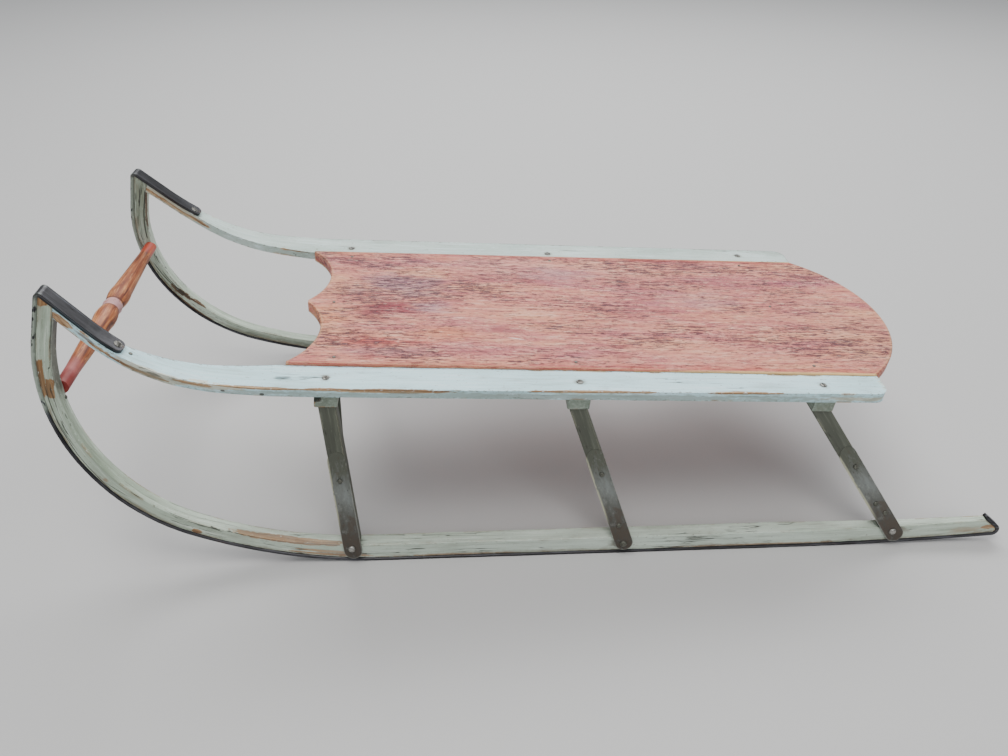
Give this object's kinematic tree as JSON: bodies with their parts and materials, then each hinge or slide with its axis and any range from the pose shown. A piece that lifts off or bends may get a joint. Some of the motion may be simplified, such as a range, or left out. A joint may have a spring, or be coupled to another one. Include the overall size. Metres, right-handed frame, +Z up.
{
  "type": "child's sled",
  "caption": "Antique child's bentwood sled with curled runners shod in iron strap, raised rails, a shaped red deck, braced leaning legs and a turned crossbar.",
  "frame": {"origin": "on the floor, under the middle of the sled's length and width", "axes": "+X points forwards to the curled tips, +Y to the sled's left, +Z up"},
  "size_m": [0.9354, 0.4162, 0.2927],
  "materials": {
    "deck_paint": "worn, faded red paint with wood showing at the edges",
    "rail_paint": "worn pale blue-green paint, rubbed to wood on the corners",
    "runner_paint": "worn grey-green paint, cracked and rubbed to wood",
    "beam_paint": "worn grey-green paint",
    "leg_paint": "worn dark green-grey paint",
    "leg_iron": "worn dark green-grey paint over forged strap",
    "shoe_iron": "dark, lightly rusted strap with a dull shine",
    "bar_paint": "worn red paint, rubbed to bare wood in the middle"
  },
  "bodies": {
    "root": {"deck_board": "deck_paint", "crossbar": "bar_paint", "runner_left": "runner_paint", "shoe_left": "shoe_iron", "rail_left": "rail_paint", "runner_right": "runner_paint", "shoe_right": "shoe_iron", "rail_right": "rail_paint", "crossbeam_front": "beam_paint", "leg_front_left": "leg_paint", "leg_iron_front_left": "leg_iron", "brace_front_left": "leg_iron", "leg_front_right": "leg_paint", "leg_iron_front_right": "leg_iron", "brace_front_right": "leg_iron", "crossbeam_middle": "beam_paint", "leg_middle_left": "leg_paint", "leg_iron_middle_left": "leg_iron", "brace_middle_left": "leg_iron", "leg_middle_right": "leg_paint", "leg_iron_middle_right": "leg_iron", "brace_middle_right": "leg_iron", "crossbeam_rear": "beam_paint", "leg_rear_left": "leg_paint", "leg_iron_rear_left": "leg_iron", "brace_rear_left": "leg_iron", "leg_rear_right": "leg_paint", "leg_iron_rear_right": "leg_iron", "brace_rear_right": "leg_iron"}
  },
  "joints": []
}
